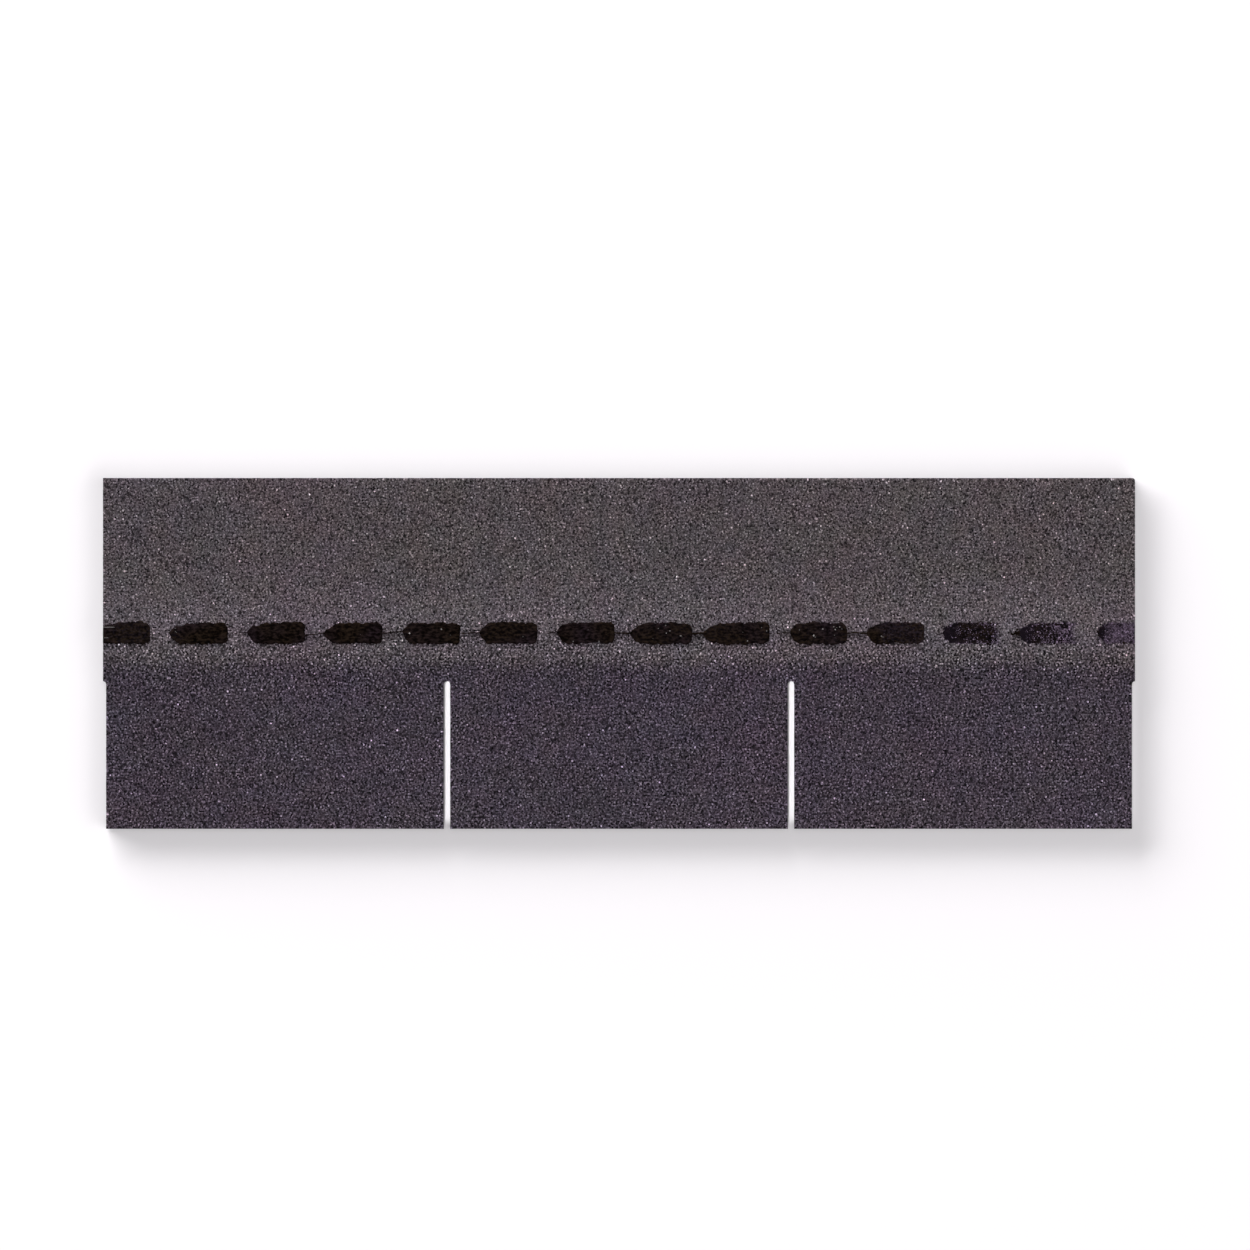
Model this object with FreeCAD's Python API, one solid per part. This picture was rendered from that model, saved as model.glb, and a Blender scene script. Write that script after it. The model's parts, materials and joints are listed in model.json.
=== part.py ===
import FreeCAD, Part
import math
import os

# Three-tab asphalt shingle, lying flat with its granule face up.
# Millimetres. +X runs along the strip, +Y points to the headlap edge and +Z is up.
# The origin is at the middle of the underside.

# The strip
STRIP_LENGTH = 1000.0
STRIP_WIDTH = 340.0
STRIP_THICKNESS = 3.0
WORN_CORNER_RADIUS = 3.0        # headlap corner at the +X end

# The cutouts between the tabs, open at the exposed edge, with a half cutout at each end
TAB_COUNT = 3
CUTOUT_WIDTH = 6.0
CUTOUT_LENGTH = 143.0

# The row of sealing bitumen dashes on the granules
DASH_LINE_HEIGHT = 189.5        # from the exposed edge to the middle of the row
DASH_PITCH = 75.0
FIRST_DASH_END = 46.0           # from the -X end to the square end of the first dash
DASH_LENGTH = 56.0
DASH_WIDTH = 20.5
DASH_THICKNESS = 0.8
DASH_NOSE_LENGTH = 14.0         # the bullet-shaped -X end
DASH_NOSE_FULLNESS = 0.55       # share of the nose over which its sides stay nearly parallel
DASH_CORNER_RADIUS = 4.5        # the square +X end
DASH_EDGE_RADIUS = 0.4          # the rounded upper edge

HALF_LENGTH = STRIP_LENGTH / 2
HALF_WIDTH = STRIP_WIDTH / 2
TOP = STRIP_THICKNESS
UP = FreeCAD.Vector(0, 0, 1)


def rectangle(left, right, near, far, bottom):
    """A flat face parallel to the ground."""
    corner = FreeCAD.Vector(left, near, bottom)
    return Part.makePlane(right - left, far - near, corner, UP)


def cutout(middle):
    """The flat outline of one tab cutout: straight sides and a round inner end."""
    radius = CUTOUT_WIDTH / 2
    round_middle = -HALF_WIDTH + CUTOUT_LENGTH - radius
    slot = rectangle(middle - radius, middle + radius, -HALF_WIDTH, round_middle, 0)
    round_end = Part.Face(Part.Wire(Part.makeCircle(radius, FreeCAD.Vector(middle, round_middle, 0))))
    return slot.fuse(round_end).removeSplitter()


def shingle_sheet():
    """The whole strip as one plate, with its tab cutouts."""
    outline = rectangle(-HALF_LENGTH, HALF_LENGTH, -HALF_WIDTH, HALF_WIDTH, 0)
    tab_pitch = STRIP_LENGTH / TAB_COUNT
    for number in range(TAB_COUNT + 1):
        outline = outline.cut(cutout(-HALF_LENGTH + number * tab_pitch))
    plate = outline.Faces[0].extrude(UP * STRIP_THICKNESS)

    def at_worn_corner(edge):
        point = edge.CenterOfMass
        return math.hypot(point.x - HALF_LENGTH, point.y - HALF_WIDTH) < 1e-6

    worn_edges = [edge for edge in plate.Edges if at_worn_corner(edge)]
    return plate.makeFillet(WORN_CORNER_RADIUS, worn_edges)


def whole_dash(end):
    """One dash of bitumen: bullet-nosed towards -X, square with round corners at +X."""
    middle = -HALF_WIDTH + DASH_LINE_HEIGHT
    half = DASH_WIDTH / 2
    shoulder = end - DASH_LENGTH + DASH_NOSE_LENGTH
    radius = DASH_CORNER_RADIUS
    corner_reach = radius * math.sqrt(0.5)

    def point(x, y):
        return FreeCAD.Vector(x, middle + y, TOP)

    def corner_middle(side):
        return point(end - radius + corner_reach, side * (half - radius + corner_reach))

    # The nose is one Bezier curve, tangent to both long sides. Its middle pole lies ahead
    # of the tip, so that the curve itself reaches exactly the nose length.
    side_pole = shoulder - DASH_NOSE_LENGTH * DASH_NOSE_FULLNESS
    tip_pole = shoulder - DASH_NOSE_LENGTH * (16 - 8 * DASH_NOSE_FULLNESS) / 6
    nose = Part.BezierCurve()
    nose.setPoles([point(shoulder, -half), point(side_pole, -half), point(tip_pole, 0),
                   point(side_pole, half), point(shoulder, half)])
    edges = [
        nose,
        Part.LineSegment(point(shoulder, half), point(end - radius, half)),
        Part.Arc(point(end - radius, half), corner_middle(1), point(end, half - radius)),
        Part.LineSegment(point(end, half - radius), point(end, radius - half)),
        Part.Arc(point(end, radius - half), corner_middle(-1), point(end - radius, -half)),
        Part.LineSegment(point(end - radius, -half), point(shoulder, -half)),
    ]
    pad = Part.Face(Part.Wire([edge.toShape() for edge in edges])).extrude(UP * DASH_THICKNESS)
    upper_edges = [edge for edge in pad.Edges if edge.BoundBox.ZMin > TOP + DASH_THICKNESS / 2]
    return pad.makeFillet(DASH_EDGE_RADIUS, upper_edges)


def sealant_dashes():
    """The dashes at their pitch, the first and the last cut off flush with the strip's ends."""
    strip_space = rectangle(-HALF_LENGTH, HALF_LENGTH, -HALF_WIDTH, HALF_WIDTH, TOP).extrude(
        UP * DASH_THICKNESS)
    count = math.ceil((STRIP_LENGTH - FIRST_DASH_END + DASH_LENGTH) / DASH_PITCH)
    for number in range(count):
        dash = whole_dash(-HALF_LENGTH + FIRST_DASH_END + number * DASH_PITCH)
        yield f"sealant_dash_{number + 1:02d}", dash.common(strip_space).Solids[0]


os.makedirs("parts", exist_ok=True)
shingle_sheet().exportStep("parts/shingle_sheet.step")
for name, dash in sealant_dashes():
    dash.exportStep(f"parts/{name}.step")
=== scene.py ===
import json
import math

import bpy
import numpy as np
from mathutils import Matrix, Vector

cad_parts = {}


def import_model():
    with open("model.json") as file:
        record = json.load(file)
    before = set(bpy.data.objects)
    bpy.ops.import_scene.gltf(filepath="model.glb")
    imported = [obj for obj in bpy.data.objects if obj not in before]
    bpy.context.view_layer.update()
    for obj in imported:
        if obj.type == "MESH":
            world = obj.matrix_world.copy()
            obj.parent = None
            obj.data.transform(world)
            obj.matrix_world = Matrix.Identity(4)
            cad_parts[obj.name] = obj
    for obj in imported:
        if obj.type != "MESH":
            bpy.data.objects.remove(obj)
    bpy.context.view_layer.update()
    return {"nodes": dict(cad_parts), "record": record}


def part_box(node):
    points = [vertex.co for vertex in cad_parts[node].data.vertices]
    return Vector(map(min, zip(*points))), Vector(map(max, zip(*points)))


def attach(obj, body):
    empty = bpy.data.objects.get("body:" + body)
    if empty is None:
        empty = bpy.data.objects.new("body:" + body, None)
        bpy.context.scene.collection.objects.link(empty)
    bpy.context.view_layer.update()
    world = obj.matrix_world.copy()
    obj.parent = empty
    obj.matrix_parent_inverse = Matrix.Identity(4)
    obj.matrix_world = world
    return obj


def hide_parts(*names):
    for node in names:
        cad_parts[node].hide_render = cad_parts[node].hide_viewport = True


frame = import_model()

# A three-tab asphalt shingle, granule face up. Plan sizes below are in millimetres, like the
# CAD model's, and turn into metres only when a mesh is made.
MM = 0.001

# ---------------------------------------------------------------- sizes from the frame

SHEET_LOW, SHEET_HIGH = [np.array(corner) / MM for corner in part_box("shingle_sheet")]
LEFT, NEAR = SHEET_LOW[:2]
RIGHT, FAR, SHEET_TOP = SHEET_HIGH
DASH_NAMES = sorted(name for name in frame["nodes"] if name.startswith("sealant_dash"))
DASH_BOXES = [[np.array(corner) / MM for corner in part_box(name)] for name in DASH_NAMES]
DASH_LINE = (DASH_BOXES[1][0][1] + DASH_BOXES[1][1][1]) / 2
DASH_HALF_WIDTH = (DASH_BOXES[1][1][1] - DASH_BOXES[1][0][1]) / 2
DASH_LENGTH = DASH_BOXES[1][1][0] - DASH_BOXES[1][0][0]
DASH_TOP = DASH_BOXES[1][1][2]
CUTOUT_BOXES = [opening["box_m"] for opening in frame["record"]["physics"]["openings"]]
CUTOUT_MIDDLES = [(low[0] + high[0]) / 2 / MM for low, high in CUTOUT_BOXES]
CUTOUT_LINES = [LEFT, *CUTOUT_MIDDLES, RIGHT]
CUTOUT_RADIUS = 3.0
CUTOUT_STRAIGHT_LENGTH = 140.0
CUTOUT_ROUND_MIDDLE = NEAR + CUTOUT_STRAIGHT_LENGTH
WORN_CORNER_RADIUS = 3.0

# ---------------------------------------------------------------- granule relief

GRANULE_PITCH = 1.62
ROW_PITCH = GRANULE_PITCH * math.sqrt(3) / 2
JITTER = 0.30                   # of the pitch
KEEP_INSIDE = 0.3 * GRANULE_PITCH
BED_HEIGHT = 2.2                # of the bitumen that the granules sit in
VALLEY_LOW, VALLEY_HIGH = 2.25, 2.7
PEAK_LOW, PEAK_HIGH = 2.8, 3.6
# Granule corners down in the valleys are painted darker: partly the bitumen that shows between the granules,
# partly painted shade in the creases.
VALLEY_PAINTED_SHADE = 0.55
FACET_SPREAD = 0.18             # how much the faces of one granule differ in shade
CRYSTAL_SPREAD = 0.38           # and how much its crystals do, two faces each
CRISPNESS = 0.9                 # how much more than by chance neighbours differ in shade
CUT_CHIPS = 0.22                # depth of the chips along a cut edge
FAR_EDGE_CHIPS = 0.35
# About one granule in eighty is much paler: partly pale grains, partly painted glints of the granules' glossy
# facets.
PALE_AND_GLINT_SHARE, PALE_AND_GLINT_GAIN = 0.012, (1.8, 4.0)
DARK_SHARE, DARK_GAIN = 0.12, (0.12, 0.4)
RIM_SHADE = 0.7                 # of the granules along a patch's cut side
SIDE_SHADE = 0.5                # and of that side's foot

# Linear colours of the granule blends, of the film over thinly coated granules, and of bitumen.
HEADLAP_BLEND = np.array([0.150, 0.125, 0.137])
DASH_BAND_BLEND = np.array([0.193, 0.162, 0.186])
TAB_BLEND = np.array([0.105, 0.084, 0.111])
FILM_VEIL = np.array([0.150, 0.110, 0.160])
FILM_TINT = np.array([1.0, 0.87, 1.15])
FILM_COAT = np.array([0.0017, 0.0011, 0.0019])
BITUMEN = np.array([0.0075, 0.0055, 0.0050])


def noise(x, y, cell, seed):
    """Smooth value noise over the strip, from -1 to 1, with features of the cell's size."""
    grid_x = (np.asarray(x) - LEFT) / cell + 2
    grid_y = (np.asarray(y) - NEAR) / cell + 2
    columns = int((RIGHT - LEFT) / cell) + 6
    rows = int((FAR - NEAR) / cell) + 6
    values = np.random.default_rng(seed).uniform(-1, 1, (columns, rows))
    column = np.clip(grid_x.astype(int), 0, columns - 2)
    row = np.clip(grid_y.astype(int), 0, rows - 2)
    along = np.clip(grid_x - column, 0, 1)
    across = np.clip(grid_y - row, 0, 1)
    along = along * along * (3 - 2 * along)
    across = across * across * (3 - 2 * across)
    low = values[column, row] * (1 - along) + values[column + 1, row] * along
    high = values[column, row + 1] * (1 - along) + values[column + 1, row + 1] * along
    return low * (1 - across) + high * across


def ramp(value, low, high):
    """0 below low, 1 above high and smooth between them."""
    share = np.clip((value - low) / (high - low), 0, 1)
    return share * share * (3 - 2 * share)


def edge_distance(x, y):
    """How far a point is inside the strip's outline, and the direction that leads further in."""
    distances = [x - LEFT, RIGHT - x, y - NEAR, FAR - y]
    one, none = np.ones_like(x), np.zeros_like(x)
    inward = [(one, none), (-one, none), (none, one), (none, -one)]
    for middle in CUTOUT_LINES:
        beyond = np.maximum(y - CUTOUT_ROUND_MIDDLE, 0)
        reach = np.maximum(np.hypot(x - middle, beyond), 1e-6)
        distances.append(reach - CUTOUT_RADIUS)
        inward.append(((x - middle) / reach, beyond / reach))
    corner_x = np.maximum(x - (RIGHT - WORN_CORNER_RADIUS), 0)
    corner_y = np.maximum(y - (FAR - WORN_CORNER_RADIUS), 0)
    reach = np.maximum(np.hypot(corner_x, corner_y), 1e-6)
    distances.append(WORN_CORNER_RADIUS - reach)
    inward.append((-corner_x / reach, -corner_y / reach))
    distances, inward = np.array(distances), np.array(inward)
    nearest = distances.argmin(axis=0)
    picked = np.arange(len(x))
    return distances[nearest, picked], inward[nearest, 0, picked], inward[nearest, 1, picked]


def granule_lattice():
    """A jittered honeycomb over the whole strip: each granule is a peak inside six corners."""
    rng = np.random.default_rng(11)
    columns = int((RIGHT - LEFT) / GRANULE_PITCH) + 6
    rows = int((FAR - NEAR) / ROW_PITCH) + 6
    row, column = np.mgrid[0:rows, 0:columns]
    shift = row % 2
    even_x = LEFT + (column + 0.5 * shift - 2) * GRANULE_PITCH
    even_y = NEAR + (row - 2) * ROW_PITCH
    x = even_x + rng.uniform(-JITTER, JITTER, even_x.shape) * GRANULE_PITCH
    y = even_y + rng.uniform(-JITTER, JITTER, even_y.shape) * GRANULE_PITCH
    size = rng.uniform(0.55, 1.45, x.shape)
    # Each granule's draw of shade. Neighbours differ a little more than chance would have it.
    shade_draw = rng.normal(0, 1, x.shape)
    around = sum(np.roll(shade_draw, (up, along), (0, 1)) for up in (-1, 0, 1) for along in (-1, 0, 1))
    shade_draw = shade_draw - CRISPNESS * around / 9

    def corner(row_step):
        # The corner between a granule, its right neighbour and the one above or below.
        near_row = np.clip(row + row_step, 0, rows - 1)
        right = np.minimum(column + 1, columns - 1)
        third = np.minimum(column + shift, columns - 1)
        weights = [1 / size, 1 / size[row, right], 1 / size[near_row, third]]
        total = sum(weights)
        place = [sum(w * c for w, c in zip(weights, [a, a[row, right], a[near_row, third]])) / total
                 for a in (x, y)]
        return place[0], place[1]

    above_x, above_y = corner(1)
    below_x, below_y = corner(-1)
    count = rows * columns
    all_x = np.concatenate([x.ravel(), above_x.ravel(), below_x.ravel()])
    all_y = np.concatenate([y.ravel(), above_y.ravel(), below_y.ravel()])
    peaks = PEAK_LOW + (PEAK_HIGH - PEAK_LOW) * rng.beta(2.0, 2.2, count)
    valleys = rng.uniform(VALLEY_LOW, VALLEY_HIGH, 2 * count)
    all_z = np.concatenate([peaks, valleys])

    inner = (row > 0) & (row < rows - 1) & (column > 0) & (column < columns - 1)
    row, column = row[inner], column[inner]
    shift_beside = (row + 1) % 2

    def number(kind, at_row, at_column):
        return kind * count + at_row * columns + at_column

    rings = np.stack([
        number(1, row, column),
        number(2, row + 1, column - shift_beside),
        number(1, row, column - 1),
        number(2, row, column - 1),
        number(1, row - 1, column - shift_beside),
        number(2, row, column),
    ], axis=1)
    peaks = number(0, row, column)
    inside = edge_distance(all_x[peaks], all_y[peaks])[0] > KEEP_INSIDE
    peaks, rings = peaks[inside], rings[inside]
    points = np.stack([all_x, all_y, all_z], axis=1)
    return points, peaks, rings, [a.ravel()[peaks] for a in (even_x, even_y, shade_draw)]


def trim_to_outline(points, rings):
    """Moves the outermost corners onto the outline, with the small chips of a cut edge."""
    uses = np.bincount(rings.ravel(), minlength=len(points))
    outer = np.nonzero((uses > 0) & (uses < 3))[0]
    x, y = points[outer, 0], points[outer, 1]
    rng = np.random.default_rng(23)
    for _ in range(2):
        distance, inward_x, inward_y = edge_distance(x, y)
        x = x - distance * inward_x
        y = y - distance * inward_y
    chip = np.abs(rng.normal(0, CUT_CHIPS, len(x)))
    chip = np.where(y < NEAR + 1, chip * 0.5, chip)
    chip = np.where(y > FAR - 1, np.abs(rng.normal(0, FAR_EDGE_CHIPS, len(x))), chip)
    points[outer, 0] = x + chip * inward_x
    points[outer, 1] = y + chip * inward_y


NOSE_POWER = 0.8                # how full the round of a dash's nose is
# Dashes whose film thins out: how much of the granules is coated at the start and the end,
# how much that differs from granule to granule, and how much of a veil dulls them all.
THIN_DASHES = {12: (1.05, 0.60, 0.8, 0.0), 13: (0.72, 0.24, 1.0, 0.1), 14: (0.52, 0.00, 0.4, 0.6)}


def coat_thinly(colour, x, y, rng):
    """Coats the granules under the thin, starved dashes, each a little differently."""
    patchy = 0.7 * noise(x, y, 4, 13) + rng.normal(0, 0.8, len(x))
    for number, (start, end, uneven, veil) in THIN_DASHES.items():
        low = DASH_BOXES[number - 1][0]
        along = (x - low[0]) / DASH_LENGTH
        # Ahead of the nose nothing is coated, so the width's lower bound only has to be above 0.
        narrowing = np.clip(along * 3.5 + 0.45, 0.1, 1) ** NOSE_POWER
        across = np.abs(y - DASH_LINE) / (DASH_HALF_WIDTH * narrowing)
        ragged = 0.06 * noise(x, y, 3, 14 + number)
        inside = ramp(along, -0.03, 0.03) * (1 - ramp(across + ragged, 0.9, 1.04))
        inside = inside * (1 - ramp(along + ragged, 0.84, 1.0))
        coated = inside * np.clip(start + (end - start) * along + uneven * patchy, 0, 1)
        colour = colour * (1 + (FILM_TINT - 1) * inside[:, None])
        veiled = veil * inside[:, None]
        colour = colour * (1 - veiled) + FILM_VEIL * veiled
        colour = colour * (1 - coated[:, None]) + FILM_COAT * coated[:, None]
    return colour


def granule_colours(x, y, shade_draw):
    """One linear colour per granule: the blend of its band, its own shade, a tint by area."""
    rng = np.random.default_rng(37)
    count = len(x)
    wander = 3.0 * noise(x, y, 25, 5) + rng.normal(0, 2.5, count)
    tab_share = 1 - ramp(y + wander, CUTOUT_ROUND_MIDDLE + 9, CUTOUT_ROUND_MIDDLE + 30)
    band_share = np.exp(-(((y - DASH_LINE - 4) / 34) ** 2))
    colour = HEADLAP_BLEND + (DASH_BAND_BLEND - HEADLAP_BLEND) * band_share[:, None]
    colour = colour + (TAB_BLEND - colour) * tab_share[:, None]

    contrast = 0.22 + 0.13 * np.exp(-(((y - DASH_LINE + 24) / 20) ** 2)) + 0.09 * tab_share
    shade = np.clip(1 + contrast * shade_draw, 0.2, None) ** 2.2 / (1 + 1.3 * contrast ** 2)
    # The much paler granules are partly pale grains and partly painted glints.
    pale = rng.random(count) < PALE_AND_GLINT_SHARE
    dark = rng.random(count) < DARK_SHARE
    shade = np.where(pale, shade * rng.uniform(*PALE_AND_GLINT_GAIN, count), shade)
    shade = np.where(dark, shade * rng.uniform(*DARK_GAIN, count), shade)
    colour = colour * shade[:, None]

    warm = 0.035 * noise(x, y, 16, 7) + 0.03 * noise(x, y, 90, 8) + rng.normal(0, 0.012, count)
    blue = 0.04 * noise(x, y, 18, 9) + 0.03 * noise(x, y, 110, 10) + rng.normal(0, 0.012, count)
    tint = np.stack([1 + warm, 1 - 0.2 * (warm + blue), 1 + blue], axis=1)
    colour = colour * tint * (1 + 0.03 * noise(x, y, 70, 12))[:, None]

    return coat_thinly(colour, x, y, rng)


# ---------------------------------------------------------------- mesh helpers

def new_piece(name, points, loops, totals, material, smooth=False):
    """A mesh object from millimetre points and polygons given as flat corner numbers."""
    mesh = bpy.data.meshes.new(name)
    mesh.vertices.add(len(points))
    mesh.vertices.foreach_set("co", (np.asarray(points) * MM).astype(np.float32).ravel())
    mesh.loops.add(len(loops))
    mesh.loops.foreach_set("vertex_index", np.asarray(loops, dtype=np.int32))
    totals = np.asarray(totals, dtype=np.int32)
    mesh.polygons.add(len(totals))
    mesh.polygons.foreach_set("loop_start", np.concatenate([[0], np.cumsum(totals)[:-1]]).astype(np.int32))
    mesh.polygons.foreach_set("loop_total", totals)
    mesh.update(calc_edges=True)
    mesh.polygons.foreach_set("use_smooth", np.full(len(totals), smooth))
    mesh.materials.append(material)
    piece = bpy.data.objects.new(name, mesh)
    bpy.context.scene.collection.objects.link(piece)
    return piece


def paint_corners(piece, colours):
    """Gives each corner of the mesh a linear colour for the granule material."""
    rgba = np.concatenate([colours, np.ones((len(colours), 1))], axis=1)
    attribute = piece.data.attributes.new("granule_colour", "FLOAT_COLOR", "CORNER")
    attribute.data.foreach_set("color", rgba.astype(np.float32).ravel())


def join_parts(parts):
    """Several (points, loops, totals) as one."""
    points, loops, totals, base = [], [], [], 0
    for part_points, part_loops, part_totals in parts:
        points.append(np.asarray(part_points, dtype=float))
        loops.append(np.asarray(part_loops) + base)
        totals.append(np.asarray(part_totals))
        base += len(part_points)
    return np.concatenate(points), np.concatenate(loops), np.concatenate(totals)


def outer_loop(rings):
    """The boundary of a patch of granules, as corner numbers in order, patch on the left."""
    starts = rings.ravel()
    ends = np.roll(rings, -1, axis=1).ravel()
    span = int(max(starts.max(), ends.max())) + 1
    forward = starts.astype(np.int64) * span + ends
    backward = ends.astype(np.int64) * span + starts
    lone = ~np.isin(forward, backward)
    follow = dict(zip(starts[lone].tolist(), ends[lone].tolist()))
    loop = [starts[lone][0]]
    while follow[loop[-1]] != loop[0]:
        loop.append(follow[loop[-1]])
    assert len(loop) == len(follow), "a patch of granules has a hole"
    return np.array(loop)


# ---------------------------------------------------------------- materials

def node_material(name):
    material = bpy.data.materials.new(name)
    material.use_nodes = True
    nodes = material.node_tree.nodes
    return material, nodes, material.node_tree.links, nodes["Principled BSDF"]


def noise_node(nodes, links, scale, detail=2.0, roughness=0.5, stretch=None):
    """Object-space noise with features of about 1 / scale metres."""
    coordinates = nodes.new("ShaderNodeTexCoord")
    texture = nodes.new("ShaderNodeTexNoise")
    texture.inputs["Scale"].default_value = scale
    texture.inputs["Detail"].default_value = detail
    texture.inputs["Roughness"].default_value = roughness
    if stretch is None:
        links.new(coordinates.outputs["Object"], texture.inputs["Vector"])
    else:
        mapping = nodes.new("ShaderNodeMapping")
        mapping.inputs["Scale"].default_value = stretch
        links.new(coordinates.outputs["Object"], mapping.inputs["Vector"])
        links.new(mapping.outputs["Vector"], texture.inputs["Vector"])
    return texture


def ramp_node(nodes, links, source, low, high, low_value, high_value):
    mapped = nodes.new("ShaderNodeMapRange")
    mapped.inputs["From Min"].default_value = low
    mapped.inputs["From Max"].default_value = high
    mapped.inputs["To Min"].default_value = low_value
    mapped.inputs["To Max"].default_value = high_value
    links.new(source, mapped.inputs["Value"])
    return mapped.outputs["Result"]


def feed(links, value, socket):
    """Links a node's output to a socket, or sets the socket where the value is plain."""
    if isinstance(value, bpy.types.NodeSocket):
        links.new(value, socket)
    else:
        socket.default_value = value


def math_node(nodes, links, operation, first, second, clamp=False):
    node = nodes.new("ShaderNodeMath")
    node.operation = operation
    node.use_clamp = clamp
    feed(links, first, node.inputs[0])
    feed(links, second, node.inputs[1])
    return node.outputs["Value"]


def mixed_colours(nodes, links, share, first, second):
    node = nodes.new("ShaderNodeMixRGB")
    feed(links, share, node.inputs["Fac"])
    feed(links, first, node.inputs["Color1"])
    feed(links, second, node.inputs["Color2"])
    return node.outputs["Color"]


def bump(nodes, links, shader, height, distance, strength):
    node = nodes.new("ShaderNodeBump")
    node.inputs["Distance"].default_value = distance
    node.inputs["Strength"].default_value = strength
    links.new(height, node.inputs["Height"])
    links.new(node.outputs["Normal"], shader.inputs["Normal"])


def granule_material():
    material, nodes, links, shader = node_material("mineral_granules")
    colour = nodes.new("ShaderNodeAttribute")
    colour.attribute_name = "granule_colour"
    grit = noise_node(nodes, links, 2200, 3.0)
    shade = ramp_node(nodes, links, grit.outputs["Fac"], 0.3, 0.7, 0.8, 1.2)
    multiply = nodes.new("ShaderNodeVectorMath")
    multiply.operation = "SCALE"
    links.new(colour.outputs["Color"], multiply.inputs[0])
    links.new(shade, multiply.inputs["Scale"])
    links.new(multiply.outputs["Vector"], shader.inputs["Base Color"])
    luminance = nodes.new("ShaderNodeRGBToBW")
    links.new(colour.outputs["Color"], luminance.inputs["Color"])
    links.new(ramp_node(nodes, links, luminance.outputs["Val"], 0.02, 0.25, 0.9, 0.55),
              shader.inputs["Roughness"])
    shader.inputs["Specular IOR Level"].default_value = 0.04
    bump(nodes, links, shader, grit.outputs["Fac"], 0.00025, 0.6)
    return material


def bitumen_material():
    material, nodes, links, shader = node_material("sealing_bitumen")
    lumps = noise_node(nodes, links, 230, 4.0, 0.65, stretch=(1.0, 1.8, 1.0))
    drift = noise_node(nodes, links, 26, 1.0)
    tone = mixed_colours(nodes, links, ramp_node(nodes, links, drift.outputs["Fac"], 0.45, 0.7, 0, 1),
                         (0.0180, 0.0114, 0.0078, 1), (0.0185, 0.0115, 0.0150, 1))
    whole = mixed_colours(nodes, links, ramp_node(nodes, links, lumps.outputs["Fac"], 0.42, 0.62, 0, 1),
                          (0.0012, 0.0006, 0.0004, 1), tone)
    # Where the film is starved, the granules under it speckle it.
    wear = nodes.new("ShaderNodeAttribute")
    wear.attribute_name = "film_wear"
    speckle = noise_node(nodes, links, 520, 1.0, 0.5)
    speckles = ramp_node(nodes, links, speckle.outputs["Fac"], 0.44, 0.62, 0, 1)
    amount = math_node(nodes, links, "MULTIPLY", speckles, wear.outputs["Fac"])
    worn = mixed_colours(nodes, links, amount, whole, (0.055, 0.042, 0.065, 1))
    # Below zero the attribute stands for the bluer, fresher film of the last dashes' noses.
    fresh = math_node(nodes, links, "MULTIPLY", wear.outputs["Fac"], -1.0, clamp=True)
    links.new(mixed_colours(nodes, links, fresh, worn, (0.0085, 0.0060, 0.0105, 1)),
              shader.inputs["Base Color"])
    links.new(ramp_node(nodes, links, speckle.outputs["Fac"], 0.3, 0.7, 0.7, 0.9),
              shader.inputs["Roughness"])
    shader.inputs["Specular IOR Level"].default_value = 0.012
    bump(nodes, links, shader, lumps.outputs["Fac"], 0.0005, 0.5)
    return material


def cut_edge_material():
    material, nodes, links, shader = node_material("cut_edge_bitumen")
    fibre = noise_node(nodes, links, 500, 4.0, 0.65, stretch=(1.0, 1.0, 4.0))
    fibres = ramp_node(nodes, links, fibre.outputs["Fac"], 0.45, 0.8, 0, 1)
    links.new(mixed_colours(nodes, links, fibres, (0.007, 0.006, 0.0055, 1), (0.055, 0.050, 0.046, 1)),
              shader.inputs["Base Color"])
    links.new(ramp_node(nodes, links, fibre.outputs["Fac"], 0.3, 0.7, 0.6, 0.9),
              shader.inputs["Roughness"])
    bump(nodes, links, shader, fibre.outputs["Fac"], 0.0008, 0.7)
    return material


def underside_material():
    material, nodes, links, shader = node_material("sanded_underside")
    sand = noise_node(nodes, links, 1100, 2.0, 0.7)
    cloud = noise_node(nodes, links, 22, 4.0)
    grains = ramp_node(nodes, links, sand.outputs["Fac"], 0.38, 0.62, 0, 1)
    clouds = ramp_node(nodes, links, cloud.outputs["Fac"], 0.3, 0.7, 0.45, 1)
    amount = math_node(nodes, links, "MULTIPLY", grains, clouds)
    links.new(mixed_colours(nodes, links, amount, (0.022, 0.020, 0.019, 1), (0.30, 0.29, 0.27, 1)),
              shader.inputs["Base Color"])
    links.new(ramp_node(nodes, links, sand.outputs["Fac"], 0.3, 0.7, 0.75, 0.95),
              shader.inputs["Roughness"])
    bump(nodes, links, shader, sand.outputs["Fac"], 0.0006, 0.6)
    return material


GRANULES = granule_material()
SEALING_BITUMEN = bitumen_material()
CUT_EDGE = cut_edge_material()
UNDERSIDE = underside_material()

# ---------------------------------------------------------------- granule face

SKIRT_MAP_WIDTH = 1.2
# Where the plan and the flat base lie in the map for baking: their size and their corner.
PLAN_MAP_SIZE, PLAN_MAP_CORNER = [0.98, 0.93], [0.01, 0.06]
BASE_MAP_SIZE, BASE_MAP_CORNER = [0.98, 0.035], [0.01, 0.01]


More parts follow.
